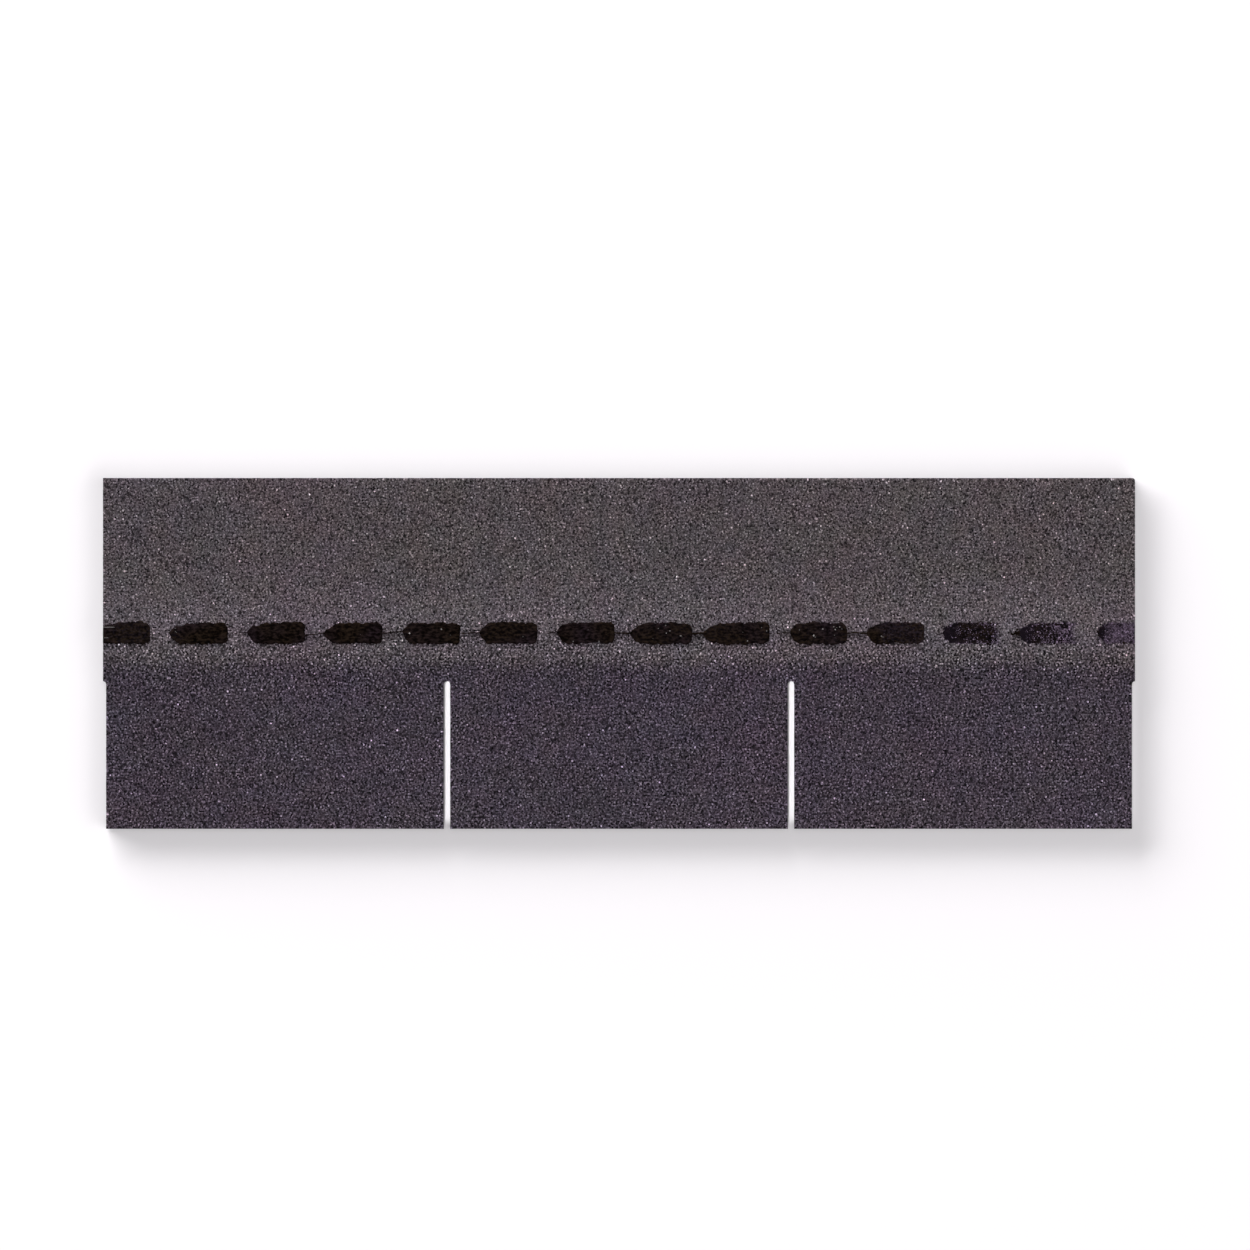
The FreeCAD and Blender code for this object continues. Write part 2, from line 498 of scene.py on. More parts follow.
def granule_patch(name, points, peaks, rings, colours):
    """One closed slab of granules: the relief, its cut sides and a flat base."""
    fans = np.stack([np.repeat(peaks, 6), rings.ravel(), np.roll(rings, -1, axis=1).ravel()], axis=1)
    fan_colours = np.repeat(colours, 6, axis=0)
    loop = outer_loop(rings)
    used, local = np.unique(fans, return_inverse=True)
    fans = local.reshape(-1, 3)
    rim = np.searchsorted(used, loop)
    top = points[used]
    base = points[loop].copy()
    base[:, 2] = BED_HEIGHT
    base_numbers = len(top) + np.arange(len(loop))
    following = np.roll(np.arange(len(loop)), -1)
    sides = np.stack([rim, base_numbers, base_numbers[following], rim[following]], axis=1)
    loops = np.concatenate([fans.ravel(), sides.ravel(), base_numbers[::-1]])
    totals = np.concatenate([np.full(len(fans), 3), np.full(len(sides), 4), [len(loop)]])
    piece = new_piece(name, np.concatenate([top, base]), loops, totals, GRANULES)

    rng = np.random.default_rng(len(peaks))
    facet_shade = np.exp(rng.normal(0, FACET_SPREAD, len(fans))
                         + np.repeat(rng.normal(0, CRYSTAL_SPREAD, len(fans) // 2), 2))
    # The valley corners of each face take the darker colour: painted shade in the creases between granules,
    # as well as the dark bitumen there.
    facet_tone_and_painted_valley_shade = np.tile([1.0, VALLEY_PAINTED_SHADE, VALLEY_PAINTED_SHADE], len(fans)) * np.repeat(facet_shade, 3)
    fan_corner_colours = np.repeat(fan_colours, 3, axis=0) * facet_tone_and_painted_valley_shade[:, None]
    owner = dict(zip(rings.ravel().tolist(), np.repeat(np.arange(len(peaks)), 6).tolist()))
    rim_colours = colours[[owner[corner] for corner in loop.tolist()]] * RIM_SHADE
    foot_colours = rim_colours * SIDE_SHADE
    side_colours = np.stack([rim_colours, foot_colours, foot_colours, rim_colours], axis=1)
    base_colours = np.tile(BITUMEN, (len(loop), 1))
    corner_colours = np.concatenate([fan_corner_colours, side_colours.reshape(-1, 3), base_colours])
    paint_corners(piece, corner_colours)

    # The map for baking is the plan, with the sides laid outwards and the base in a strip.
    rim_points = points[loop][:, :2]
    step = np.roll(rim_points, -1, axis=0) - np.roll(rim_points, 1, axis=0)
    outward = np.stack([step[:, 1], -step[:, 0]], axis=1)
    outward /= np.maximum(np.linalg.norm(outward, axis=1), 1e-6)[:, None]
    skirt = rim_points + outward * SKIRT_MAP_WIDTH
    plan = np.concatenate([top[:, :2], skirt])
    low, high = plan.min(axis=0), plan.max(axis=0)
    spread = (plan - low) / (high - low)
    spread = spread * PLAN_MAP_SIZE + PLAN_MAP_CORNER
    map_places = spread[loops]
    flat_base = (rim_points[::-1] - low) / (high - low)
    map_places[-len(loop):] = flat_base * BASE_MAP_SIZE + BASE_MAP_CORNER
    layer = piece.data.uv_layers.new(name="OFBake")
    layer.uv.foreach_set("vector", map_places.astype(np.float32).ravel())
    return piece


def granule_face():
    points, peaks, rings, (even_x, even_y, shade_draw) = granule_lattice()
    trim_to_outline(points, rings)
    colours = granule_colours(points[peaks, 0], points[peaks, 1], shade_draw)
    third = np.digitize(even_x, CUTOUT_MIDDLES)
    in_tabs = even_y < CUTOUT_ROUND_MIDDLE + CUTOUT_RADIUS
    for number, side in enumerate(["left", "middle", "right"]):
        for band, in_band in [("tab", in_tabs), ("headlap", ~in_tabs)]:
            chosen = in_band & (third == number)
            piece = granule_patch(f"granules_{band}_{side}", points, peaks[chosen], rings[chosen],
                                  colours[chosen])
            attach(piece, "root")


# ---------------------------------------------------------------- sheet under the granules

EDGE_STEP = 2.0
EDGE_ROWS = [0.0, 0.35, 1.1, 1.7, BED_HEIGHT + 0.1]
EDGE_ROUGHNESS = 0.12
EDGE_INSET = 0.05
FOOT_INSET = 0.15               # more, for the edge's lowest row


def outline_points():
    """The strip's outline, anticlockwise, at about even steps."""
    half_turn = np.linspace(0, 1, 7)
    path = []
    radius, shoulder = CUTOUT_RADIUS, CUTOUT_ROUND_MIDDLE
    path += [(LEFT + radius, NEAR)]
    for middle in CUTOUT_MIDDLES:
        path += [(middle - radius, NEAR)]
        path += [(middle - radius * math.cos(math.pi * s), shoulder + radius * math.sin(math.pi * s))
                 for s in half_turn]
        path += [(middle + radius, NEAR)]
    path += [(RIGHT - radius, NEAR)]
    path += [(RIGHT - radius * math.cos(math.pi / 2 * s), shoulder + radius * math.sin(math.pi / 2 * s))
             for s in half_turn[::2]]
    corner = WORN_CORNER_RADIUS
    path += [(RIGHT - corner + corner * math.cos(math.pi / 2 * s),
              FAR - corner + corner * math.sin(math.pi / 2 * s)) for s in half_turn[::2]]
    path += [(LEFT, FAR)]
    path += [(LEFT + radius * math.sin(math.pi / 2 * s), shoulder + radius * math.cos(math.pi / 2 * s))
             for s in half_turn[::2]]
    points = []
    for start, end in zip(path, path[1:] + path[:1]):
        length = math.dist(start, end)
        steps = max(1, round(length / EDGE_STEP))
        for step in range(steps):
            share = step / steps
            points.append((start[0] + (end[0] - start[0]) * share,
                           start[1] + (end[1] - start[1]) * share))
    return np.array(points)


def shingle_body():
    outline = outline_points()
    count = len(outline)
    step = np.roll(outline, -1, axis=0) - np.roll(outline, 1, axis=0)
    inward = np.stack([-step[:, 1], step[:, 0]], axis=1)
    inward /= np.linalg.norm(inward, axis=1)[:, None]
    rng = np.random.default_rng(51)
    levels = []
    for height in EDGE_ROWS:
        depth = np.abs(rng.normal(0.0, EDGE_ROUGHNESS, count)) + EDGE_INSET
        depth += FOOT_INSET if height == 0 else 0.0
        levels.append(np.column_stack([outline + inward * depth[:, None], np.full(count, height)]))
    points = np.concatenate(levels)
    here = np.arange(count)
    following = np.roll(here, -1)
    walls = [np.stack([row * count + here, row * count + following,
                       (row + 1) * count + following, (row + 1) * count + here], axis=1)
             for row in range(len(EDGE_ROWS) - 1)]
    walls = np.concatenate(walls)
    top_row = (len(EDGE_ROWS) - 1) * count
    loops = np.concatenate([walls.ravel(), here[::-1], top_row + here])
    totals = np.concatenate([np.full(len(walls), 4), [count, count]])
    piece = new_piece("shingle_body", points, loops, totals, CUT_EDGE)
    piece.data.materials.append(UNDERSIDE)
    piece.data.polygons[len(walls)].material_index = 1
    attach(piece, "root")
    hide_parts("shingle_sheet")


# ---------------------------------------------------------------- sealing dashes

# What differs from dash to dash: extra tail length at the nose, how far the tip rises above
# the dash line, how much longer the nose's upper side is, the film's height above the sheet at
# its start and end, and how starved the film is there.
DASH_HABITS = {
    1: (0.0, 0.0, 2.0, 0.55, 0.60, 0.08, 0.12),
    2: (1.0, 0.4, 1.6, 0.55, 0.60, 0.08, 0.00),
    3: (0.5, 0.8, 1.4, 0.60, 0.60, 0.00, 0.00),
    4: (1.0, 0.4, 1.3, 0.60, 0.65, 0.00, 0.00),
    5: (0.0, 2.0, 1.0, 0.60, 0.60, 0.05, 0.00),
    6: (0.5, 0.8, 1.1, 0.60, 0.60, 0.03, 0.03),
    7: (0.5, 2.0, 1.2, 0.60, 0.60, 0.00, 0.02),
    8: (4.5, 0.0, 1.2, 0.60, 0.55, 0.04, 0.05),
    9: (9.5, 0.0, 1.2, 0.55, 0.55, 0.06, 0.04),
    10: (-0.5, 0.8, 0.8, 0.55, 0.50, 0.04, 0.06),
    11: (0.5, 0.0, 1.2, 0.52, 0.42, 0.00, 0.18),
    12: (1.5, 0.8, 1.1, -0.08, -0.24, -0.60, 0.05),
    13: (3.0, 0.5, 1.1, -0.04, -0.60, -0.80, 0.10),
    14: (2.0, 0.5, 1.0, -0.36, -0.90, -0.62, 0.60),
}
THIN_NOSE = (0.5, 4.0, 9.0)     # how much higher a thin dash's film is at its nose, from and to
NOSE_LENGTH = 14.0
SQUARE_CORNER = 6.0
DASH_FOOT = 2.55                # where its film ends, down among the granules
DASH_SKIRT = 0.1                # from there down to its hidden underside
DASH_CELL = 0.75
CUT_END_INSET = 0.15
LOWER_STRETCH = 0.85            # of the nose's lower side
FILM_ROUND = 0.9                # how far in from its rim the film reaches its height
FILM_HEADROOM = 0.05            # how far a lump may pass the CAD dash's top


def dash_surface(number, low, high):
    tail, tip_rise, upper_stretch, start_film, end_film, start_wear, end_wear = DASH_HABITS[number]
    cut_left = number == 1
    cut_right = number == len(DASH_NAMES)
    right = high[0] if not cut_right else low[0] + DASH_LENGTH
    tip = (right - DASH_LENGTH) - tail
    first = LEFT + CUT_END_INSET if cut_left else tip
    last = RIGHT - CUT_END_INSET if cut_right else right
    nose = NOSE_LENGTH + tail * 0.9
    columns = int((last - first) / DASH_CELL)
    rows = int(2 * DASH_HALF_WIDTH / DASH_CELL)
    even = np.linspace(0, 1, columns + 1)
    share = 0.6 * even + 0.2 * (1 - np.cos(math.pi * even))
    x = first + (last - first) * share
    t = np.linspace(-1, 1, rows + 1)
    from_tip = np.clip((x - tip) / nose, 0, 1)
    to_end = np.clip(right - x, 0, SQUARE_CORNER)
    square = SQUARE_CORNER - np.sqrt(np.maximum(SQUARE_CORNER ** 2 - (SQUARE_CORNER - to_end) ** 2, 0))
    shares = [np.clip((x - tip) / (nose * stretch), 0, 1) for stretch in (upper_stretch, LOWER_STRETCH)]
    halves = [DASH_HALF_WIDTH * (1 - (1 - along) ** 2) ** NOSE_POWER - square for along in shares]
    seed = 100 + 10 * number
    wobble = np.zeros((2, columns + 1))
    for side in (0, 1):
        line = np.full(columns + 1, DASH_LINE + 40 * side)
        wobble[side] = (0.5 * noise(x, line, 16, seed + side) + 0.8 * noise(x, line, 4.5, seed + 3 + side)
                        + 0.9 * noise(x, line, 2.1, seed + 5 + side) + 0.3)
    calm = ramp(from_tip, 0.02, 0.3)
    upper, lower = halves[0] + wobble[0] * calm, halves[1] + wobble[1] * calm
    centre = (DASH_LINE + 0.5 * noise(x, np.full(columns + 1, DASH_LINE), 30, seed + 9)
              + tip_rise * (1 - from_tip) ** 2)
    spread = np.where(t[None, :] > 0, upper[:, None], lower[:, None])
    y = centre[:, None] + t[None, :] * np.maximum(spread, 0.02)
    x = np.repeat(x[:, None], rows + 1, axis=1)
    end_wobble = 0.5 * noise(y, y * 0 + DASH_LINE, 6, seed + 11) + 0.3 * noise(y, y * 0, 2.5, seed + 12)
    if not cut_right:
        x = x + end_wobble * ramp(x, right - 8, right)

    to_side = spread * (1 - np.abs(t[None, :]))
    rim = np.minimum(to_side, 99)
    if not cut_right:
        rim = np.minimum(rim, (last - x + end_wobble * 0.6).clip(0))
    if not cut_left:
        rim = np.minimum(rim, (x - tip) * 0.9)
    round_over = np.sqrt(np.clip(1 - (1 - np.clip(rim / FILM_ROUND, 0, 1)) ** 2, 0, 1))
    along = np.clip((x - tip) / (right - tip), 0, 1)
    film = start_film + (end_film - start_film) * along ** 1.3
    if number in THIN_DASHES:
        extra, full_until, gone_by = THIN_NOSE
        film = film + extra * (1 - ramp(x - tip, full_until, gone_by)) - 0.4 * ramp(x, right - 9, right)
    wear = start_wear + (end_wear - start_wear) * ramp(along, 0.15, 0.35)
    lumps = (0.08 + 0.12 * np.clip(wear, 0, 1)) * noise(x, y, 1.6, seed + 21)
    lumps += 0.05 * noise(x, y, 4.5, seed + 22)
    streaks = 0.05 * noise(x / 9, y, 1.1, seed + 23)
    top = SHEET_TOP + film + lumps + streaks
    z = DASH_FOOT + (top - DASH_FOOT) * round_over
    return x, y, np.minimum(z, DASH_TOP + FILM_HEADROOM), wear


def closed_from_grid(x, y, z, foot):
    """A closed solid with the grid as its top and one flat polygon as its foot."""
    columns, rows = x.shape
    numbers = np.arange(columns * rows).reshape(columns, rows)
    quads = np.stack([numbers[:-1, :-1], numbers[1:, :-1], numbers[1:, 1:], numbers[:-1, 1:]], axis=-1)
    quads = quads.reshape(-1, 4)
    rim = np.concatenate([numbers[:-1, 0], numbers[-1, :-1], numbers[:0:-1, -1], numbers[0, :0:-1]])
    top = np.stack([x.ravel(), y.ravel(), z.ravel()], axis=1)
    base = top[rim].copy()
    base[:, 2] = foot
    under = columns * rows + np.arange(len(rim))
    following = np.roll(np.arange(len(rim)), -1)
    sides = np.stack([rim, under, under[following], rim[following]], axis=1)
    loops = np.concatenate([quads.ravel(), sides.ravel(), under[::-1]])
    totals = np.concatenate([np.full(len(quads) + len(sides), 4), [len(rim)]])
    return np.concatenate([top, base]), loops, totals


def sealing_dashes():
    for number, (name, (low, high)) in enumerate(zip(DASH_NAMES, DASH_BOXES), start=1):
        x, y, z, wear = dash_surface(number, low, high)
        points, loops, totals = closed_from_grid(x, y, z, DASH_FOOT - DASH_SKIRT)
        piece = new_piece(name.replace("sealant", "bitumen"), points, loops, totals, SEALING_BITUMEN,
                          smooth=True)
        attribute = piece.data.attributes.new("film_wear", "FLOAT", "POINT")
        attribute.data.foreach_set("value", np.resize(wear.ravel(), len(points)).astype(np.float32))
        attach(piece, "root")
        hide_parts(name)


# Threads drawn out of the bitumen between one dash and the next: where along the gap each
# starts and ends, its radius there, and how far beside the dash line it starts.
THREADS = {
    2: (0.30, 1.0, 0.25, 0.42, 0.0),
    3: (0.0, 1.0, 0.45, 0.75, -2.6),
    4: (0.0, 1.0, 0.62, 0.50, 0.2),
    5: (0.1, 1.0, 0.50, 0.62, 0.0),
    6: (0.45, 1.0, 0.30, 0.50, -0.5),
    7: (0.0, 1.0, 0.60, 0.75, 0.5),
    8: (0.0, 1.0, 1.0, 0.80, -0.5),
    9: (0.3, 1.0, 0.32, 0.48, -0.8),
    10: (0.0, 1.0, 0.55, 0.75, 0.2),
    11: (0.75, 1.0, 0.26, 0.34, 0.0),
}
# Drops spilt beside the last, starved dashes: along the strip, from the dash line, radius.
SPILT_DROPS = [(857.5, -10.0, 1.5), (859.5, -10.8, 1.1), (989.0, -9.2, 1.3), (991.5, -9.6, 0.9),
               (964.0, 1.5, 1.6), (965.0, -2.0, 1.4), (966.5, 5.0, 1.1), (867.0, 8.5, 0.8)]
DROP_SIDES = 8
DROP_SHOULDER = 0.75            # of its radius
DROP_HEIGHT = 0.5               # over the sheet
# The spatter ahead of dash 13: how many drops, how far they reach, along and beside.
SPATTER_DROPS, SPATTER_REACH, SPATTER_WIDTH = 36, 4.5, 1.6
THREAD_SIDES = 6
THREAD_STEP = 1.1
THREAD_HEIGHT = 3.5


def tube(path, radii, sides=THREAD_SIDES):
    """A closed tube round a path, with one radius per point."""
    path = np.asarray(path, dtype=float)
    count = len(path)
    ahead = np.gradient(path, axis=0)
    ahead /= np.linalg.norm(ahead, axis=1)[:, None]
    beside = np.cross(ahead, [0, 0, 1])
    beside /= np.maximum(np.linalg.norm(beside, axis=1), 1e-6)[:, None]
    above = np.cross(beside, ahead)
    turn = np.arange(sides) * 2 * math.pi / sides
    rings = (path[:, None] + np.asarray(radii)[:, None, None]
             * (beside[:, None] * np.cos(turn)[None, :, None] + above[:, None] * np.sin(turn)[None, :, None]))
    ring, side = np.mgrid[0:count - 1, 0:sides]
    following = (side + 1) % sides
    quads = np.stack([ring * sides + side, ring * sides + following, (ring + 1) * sides + following,
                      (ring + 1) * sides + side], axis=-1).reshape(-1, 4)[:, ::-1]
    ends = [np.arange(sides), (count - 1) * sides + np.arange(sides)[::-1]]
    loops = np.concatenate([quads.ravel(), *ends])
    return rings.reshape(-1, 3), loops, np.concatenate([np.full(len(quads), 4), [sides, sides]])


def droplet(x, y, radius, rng):
    """A low dome of spilt bitumen."""
    turn = np.arange(DROP_SIDES) * 2 * math.pi / DROP_SIDES
    reach = radius * rng.uniform(0.75, 1.2, DROP_SIDES)
    high = np.full(DROP_SIDES, SHEET_TOP + DROP_HEIGHT)
    foot = np.column_stack([x + reach * np.cos(turn), y + reach * np.sin(turn),
                            np.full(DROP_SIDES, DASH_FOOT)])
    shoulder = np.column_stack([x + reach * DROP_SHOULDER * np.cos(turn),
                                y + reach * DROP_SHOULDER * np.sin(turn), high])
    points = np.concatenate([foot, shoulder])
    here = np.arange(DROP_SIDES)
    following = (here + 1) % DROP_SIDES
    walls = np.stack([here, following, DROP_SIDES + following, DROP_SIDES + here], axis=1)
    loops = np.concatenate([walls.ravel(), here[::-1], DROP_SIDES + here])
    return points, loops, [4] * DROP_SIDES + [DROP_SIDES, DROP_SIDES]


def bitumen_threads():
    rng = np.random.default_rng(77)
    parts = []
    for number, (start, end, first_radius, last_radius, aside) in THREADS.items():
        left = DASH_BOXES[number - 1][1][0] - 0.8
        right = DASH_BOXES[number][0][0] - DASH_HABITS[number + 1][0] + 1.6
        x_start, x_end = left + (right - left) * start, left + (right - left) * end
        count = max(4, round((x_end - x_start) / THREAD_STEP))
        x = np.linspace(x_start, x_end, count)
        share = np.linspace(0, 1, count)
        rise = DASH_HABITS[number + 1][1]
        y = DASH_LINE + aside * (1 - share) ** 2 + rise * share ** 2
        y = y + 0.7 * noise(x, x * 0 + DASH_LINE, 7, 60 + number) * np.sin(math.pi * share)
        z = THREAD_HEIGHT + 0.12 * noise(x, y, 2.5, 80 + number)
        radii = first_radius + (last_radius - first_radius) * share
        radii = radii * rng.uniform(0.75, 1.25, count)
        if start > 0:
            radii[0] *= 0.3
        parts.append(tube(np.column_stack([x, y, z]), radii))
    for x, offset, radius in SPILT_DROPS:
        parts.append(droplet(LEFT + x, DASH_LINE + offset, radius, rng))
    nose = DASH_BOXES[12][0][0] - DASH_HABITS[13][0]
    for _ in range(SPATTER_DROPS):
        parts.append(droplet(nose - abs(rng.normal(0, SPATTER_REACH)) + 1.0,
                             DASH_LINE + rng.normal(0, SPATTER_WIDTH), rng.uniform(0.5, 1.15), rng))
    piece = new_piece("bitumen_threads", *join_parts(parts), SEALING_BITUMEN, smooth=True)
    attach(piece, "root")


def loose_granule(x, y, z, size, rng):
    """A small angular grain: a lopsided octahedron."""
    axes = np.array([[1, 0, 0], [-1, 0, 0], [0, 1, 0], [0, -1, 0], [0, 0, 0.7], [0, 0, -0.7]])
    points = axes * size * rng.uniform(0.7, 1.25, (6, 1)) + rng.normal(0, 0.12 * size, (6, 3))
    turn = rng.uniform(0, math.pi)
    cosine, sine = math.cos(turn), math.sin(turn)
    points = points @ np.array([[cosine, sine, 0], [-sine, cosine, 0], [0, 0, 1]]) + [x, y, z]
    faces = [(0, 2, 4), (2, 1, 4), (1, 3, 4), (3, 0, 4), (2, 0, 5), (1, 2, 5), (3, 1, 5), (0, 3, 5)]
    return points, np.array(faces).ravel(), [3] * 8


# Where granules lie loose on a dash: along it from its start, from the dash line, size, shade.
# A run of close ones makes a pale streak.
LOOSE_GRANULES = {
    1: [(0.8 + 1.0 * step, 5.8, 0.62, 0.16) for step in range(11)]
       + [(1.8 + 1.0 * step, -4.4, 0.5, 0.12) for step in range(4)],
    2: [(5.5, 1.6, 0.5, 0.13), (6.3, 0.9, 0.5, 0.12), (5.0, 4.6, 0.5, 0.14), (5.8, 4.9, 0.4, 0.10)],
    5: [(7.2, 0.0, 0.9, 0.30), (38.0, 3.9, 0.9, 0.20), (46.5, -1.8, 0.5, 0.08)],
    6: [(42.0, -3.4, 0.6, 0.09)],
    7: [(15.7, -8.0, 0.7, 0.16), (40.8, -7.8, 0.7, 0.15), (30.0, 3.5, 0.5, 0.07)],
    8: [(23.0, 4.7, 0.7, 0.12), (30.2, 7.6, 0.6, 0.12), (31.0, 0.2, 0.7, 0.16), (34.3, 2.2, 0.7, 0.17),
        (44.8, -2.6, 0.8, 0.22), (46.0, -3.5, 0.5, 0.12), (18.0, -5.0, 0.5, 0.07)],
    9: [(34.5, -7.5, 0.7, 0.14), (48.0, 5.5, 0.7, 0.13), (53.0, 2.2, 0.7, 0.12), (30.0, 1.0, 0.5, 0.08)],
    10: [(9.8, 3.1, 0.6, 0.12), (23.5, -2.2, 0.9, 0.26), (25.0, -3.6, 0.6, 0.14), (32.4, 3.9, 0.8, 0.14),
         (43.0, 6.2, 0.7, 0.16), (44.5, 3.6, 0.9, 0.28), (46.0, 5.4, 0.6, 0.12), (48.8, 6.0, 0.7, 0.18),
         (43.6, -1.8, 0.6, 0.12), (51.0, 4.2, 0.6, 0.12)],
    11: [(14.2, -2.9, 0.8, 0.14), (15.6, -3.6, 0.6, 0.09), (40.0, 5.0, 0.6, 0.08)],
}


def loose_granules():
    rng = np.random.default_rng(91)
    parts, shades = [], []
    for number, places in LOOSE_GRANULES.items():
        film = SHEET_TOP + DASH_HABITS[number][3]
        for along, offset, size, shade in places:
            x = DASH_BOXES[number - 1][0][0] + along
            parts.append(loose_granule(x, DASH_LINE + offset, film + 0.1, size, rng))
            shades.append(shade)
    piece = new_piece("loose_granules", *join_parts(parts), GRANULES)
    colours = np.repeat(shades, 24)[:, None] * np.array([1.0, 0.93, 0.93])
    paint_corners(piece, colours)
    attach(piece, "root")


# ---------------------------------------------------------------- stage

VIEW_WIDTH = 1.2108             # what the square picture spans at the strip
VIEW_OFFSET = (0.0058, 0.0275)  # of the picture's middle from the strip's
CAMERA_HEIGHT = 4.0
CAMERA_FAR = 50.0
SENSOR = 36.0
FLOOR_REACH = 12.0
FLOOR_DROP = 0.0003             # keeps the floor clear of the strip's flat underside
FLOOR_COLOUR = (0.82, 0.795, 0.82, 1)
GLOW_COLOUR = (1, 0.97, 1, 1)   # of the floor, where the camera or a gloss sees it
GLOW_STRENGTH = 0.145
WORLD_STRENGTH = 0.28
WORLD_SEEN = 1.0                # by the camera, as white
BANK_DISTANCE = 20.0
SLOT_LIGHT_MARGIN = 7.0         # how far inside the outline its edge lies
SLOT_LIGHT_SPREAD = 2.0
SLOT_LIGHT_HEIGHT = 0.5
SLOT_LIGHT_LEAN = 27.0
SLOT_LIGHT_POWER = 0.80


def camera():
    data = bpy.data.cameras.new("camera")
    data.sensor_width = SENSOR
    data.lens = SENSOR * CAMERA_HEIGHT / VIEW_WIDTH
    data.clip_end = CAMERA_FAR
    piece = bpy.data.objects.new("camera", data)
    piece.location = (*VIEW_OFFSET, CAMERA_HEIGHT + SHEET_TOP * MM)
    bpy.context.scene.collection.objects.link(piece)
    bpy.context.scene.camera = piece


def hang(name, data, lit):
    """A lamp in the scene, which lights only what the collection says."""
    lamp = bpy.data.objects.new(name, data)
    lamp.light_linking.receiver_collection = lit
    bpy.context.scene.collection.objects.link(lamp)
    return lamp


def face_away_from(lamp, toward):
    """Turns a lamp so that it shines from the direction that the vector leads to."""
    lamp.rotation_mode = "QUATERNION"
    lamp.rotation_quaternion = toward.to_track_quat("Z", "Y")


def sun(name, azimuth, elevation, level, softness, lit):
    """A broad, even light that gives a level face the level. Azimuth 0 is the headlap side."""
    data = bpy.data.lights.new(name, "SUN")
    data.energy = level / math.sin(math.radians(elevation))
    data.angle = math.radians(softness)
    a, e = math.radians(azimuth), math.radians(elevation)
    toward = Vector((math.sin(a) * math.cos(e), math.cos(a) * math.cos(e), math.sin(e)))
    face_away_from(hang(name, data, lit), toward)


def bank(name, azimuth, half_width, highest, level, lit):
    """A far, low, wide bank of light for the floor, so the strip's shadow has no hard side."""
    width = 2 * BANK_DISTANCE * math.tan(math.radians(half_width))
    top = BANK_DISTANCE * math.tan(math.radians(highest))
    turn = np.radians(np.linspace(-half_width, half_width, 41))
    share = np.mean(np.sin(np.arctan(top / BANK_DISTANCE * np.cos(turn))) ** 2) * math.radians(half_width)
    data = bpy.data.lights.new(name, "AREA")
    data.shape = "RECTANGLE"
    data.size, data.size_y = width, top
    data.energy = level / share * math.pi * width * top
    a = math.radians(azimuth)
    toward = Vector((math.sin(a), math.cos(a), 0))
    lamp = hang(name, data, lit)
    lamp.location = toward * BANK_DISTANCE + Vector((0, 0, top / 2))
    face_away_from(lamp, toward)


def slot_light(lit):
    """Light from above that reaches the floor through the cutouts alone."""
    data = bpy.data.lights.new("slot_light", "AREA")
    data.shape = "RECTANGLE"
    lean = math.radians(SLOT_LIGHT_LEAN)
    data.size = (RIGHT - LEFT - 2 * SLOT_LIGHT_MARGIN) * MM * math.cos(lean)
    data.size_y = (FAR - NEAR - 2 * SLOT_LIGHT_MARGIN) * MM
    data.spread = math.radians(SLOT_LIGHT_SPREAD)
    data.energy = SLOT_LIGHT_POWER
    lamp = hang("slot_light", data, lit)
    lamp.location = (-SLOT_LIGHT_HEIGHT * math.sin(lean), 0, SLOT_LIGHT_HEIGHT * math.cos(lean))
    lamp.rotation_euler = (0, -lean, 0)


def chosen_for_light(name, piece, state):
    """What a lamp lights: only the piece, or everything but the piece."""
    made = bpy.data.collections.new(name)
    made.objects.link(piece)
    made.collection_objects[0].light_linking.link_state = state
    return made


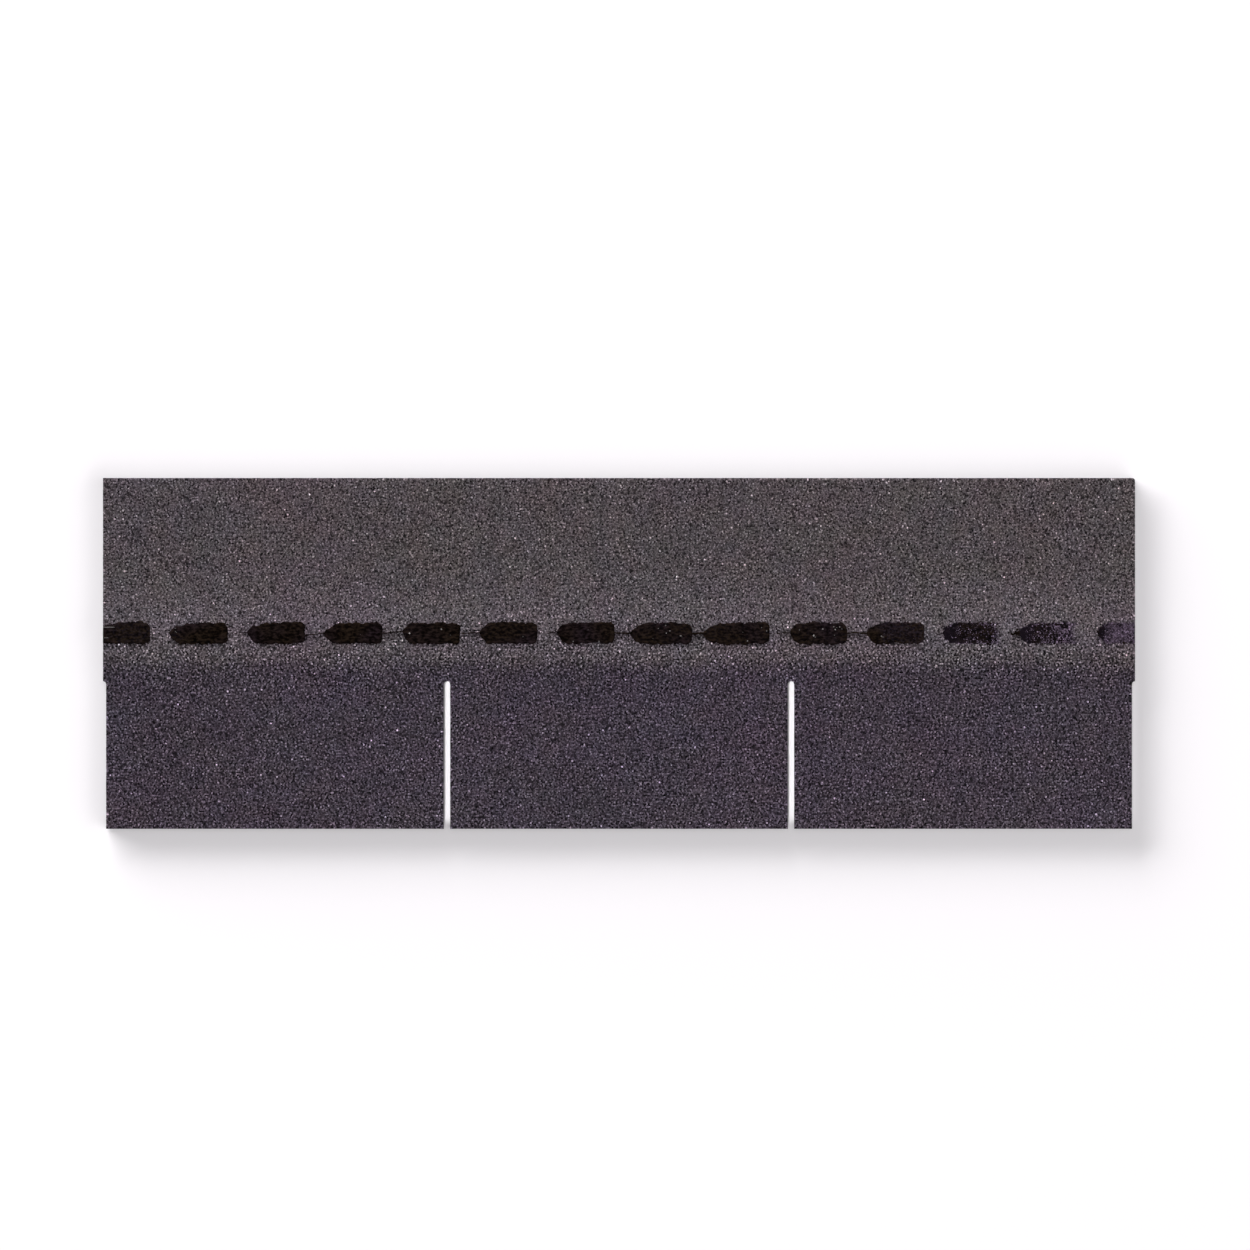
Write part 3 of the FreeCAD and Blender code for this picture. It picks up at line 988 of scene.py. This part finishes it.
def floor():
    mesh = bpy.data.meshes.new("floor")
    mesh.from_pydata([(-FLOOR_REACH, -FLOOR_REACH, 0), (FLOOR_REACH, -FLOOR_REACH, 0),
                      (FLOOR_REACH, FLOOR_REACH, 0), (-FLOOR_REACH, FLOOR_REACH, 0)],
                     [], [(0, 1, 2, 3)])
    piece = bpy.data.objects.new("floor", mesh)
    piece.location = (0, 0, -FLOOR_DROP)
    bpy.context.scene.collection.objects.link(piece)
    material, nodes, links, shader = node_material("pale_floor")
    shader.inputs["Base Color"].default_value = FLOOR_COLOUR
    shader.inputs["Roughness"].default_value = 0.9
    shader.inputs["Specular IOR Level"].default_value = 0.1
    path = nodes.new("ShaderNodeLightPath")
    seen = math_node(nodes, links, "MAXIMUM", path.outputs["Is Camera Ray"], path.outputs["Is Glossy Ray"])
    shader.inputs["Emission Color"].default_value = GLOW_COLOUR
    links.new(math_node(nodes, links, "MULTIPLY", seen, GLOW_STRENGTH), shader.inputs["Emission Strength"])
    # Clear from below, and to the diffuse rays by which the world lights the strip's underside.
    side = nodes.new("ShaderNodeNewGeometry")
    clear = nodes.new("ShaderNodeBsdfTransparent")
    let_through = math_node(nodes, links, "MAXIMUM", side.outputs["Backfacing"],
                            path.outputs["Is Diffuse Ray"])
    either = nodes.new("ShaderNodeMixShader")
    links.new(let_through, either.inputs["Fac"])
    links.new(shader.outputs["BSDF"], either.inputs[1])
    links.new(clear.outputs["BSDF"], either.inputs[2])
    links.new(either.outputs["Shader"], nodes["Material Output"].inputs["Surface"])
    mesh.materials.append(material)
    return piece


def world():
    made = bpy.data.worlds.new("studio")
    bpy.context.scene.world = made
    made.use_nodes = True
    nodes, links = made.node_tree.nodes, made.node_tree.links
    background = nodes["Background"]
    background.inputs["Color"].default_value = (1, 1, 1, 1)
    path = nodes.new("ShaderNodeLightPath")
    strength = nodes.new("ShaderNodeMapRange")
    strength.inputs["To Min"].default_value = WORLD_STRENGTH
    strength.inputs["To Max"].default_value = WORLD_SEEN
    links.new(path.outputs["Is Camera Ray"], strength.inputs["Value"])
    links.new(strength.outputs["Result"], background.inputs["Strength"])


granule_face()
shingle_body()
sealing_dashes()
bitumen_threads()
loose_granules()
camera()
pale_floor = floor()
the_strip = chosen_for_light("lit_strip", pale_floor, "EXCLUDE")
the_floor = chosen_for_light("lit_floor", pale_floor, "INCLUDE")
# Azimuth and elevation, level, then how wide the sun is. Angles are in degrees.
sun("key", -5, 12, 1.35, 20, the_strip)
sun("side", -90, 11, 0.6, 18, the_strip)
sun("back", 140, 13, 0.25, 20, the_strip)
# Azimuth, half the bank's width and its top, all in degrees, then its level.
bank("floor_key", -39, 32, 6.2, 1.67, the_floor)
bank("floor_back", 122, 59, 12, 0.90, the_floor)
slot_light(the_floor)
world()
bpy.context.scene.view_settings.view_transform = "Standard"
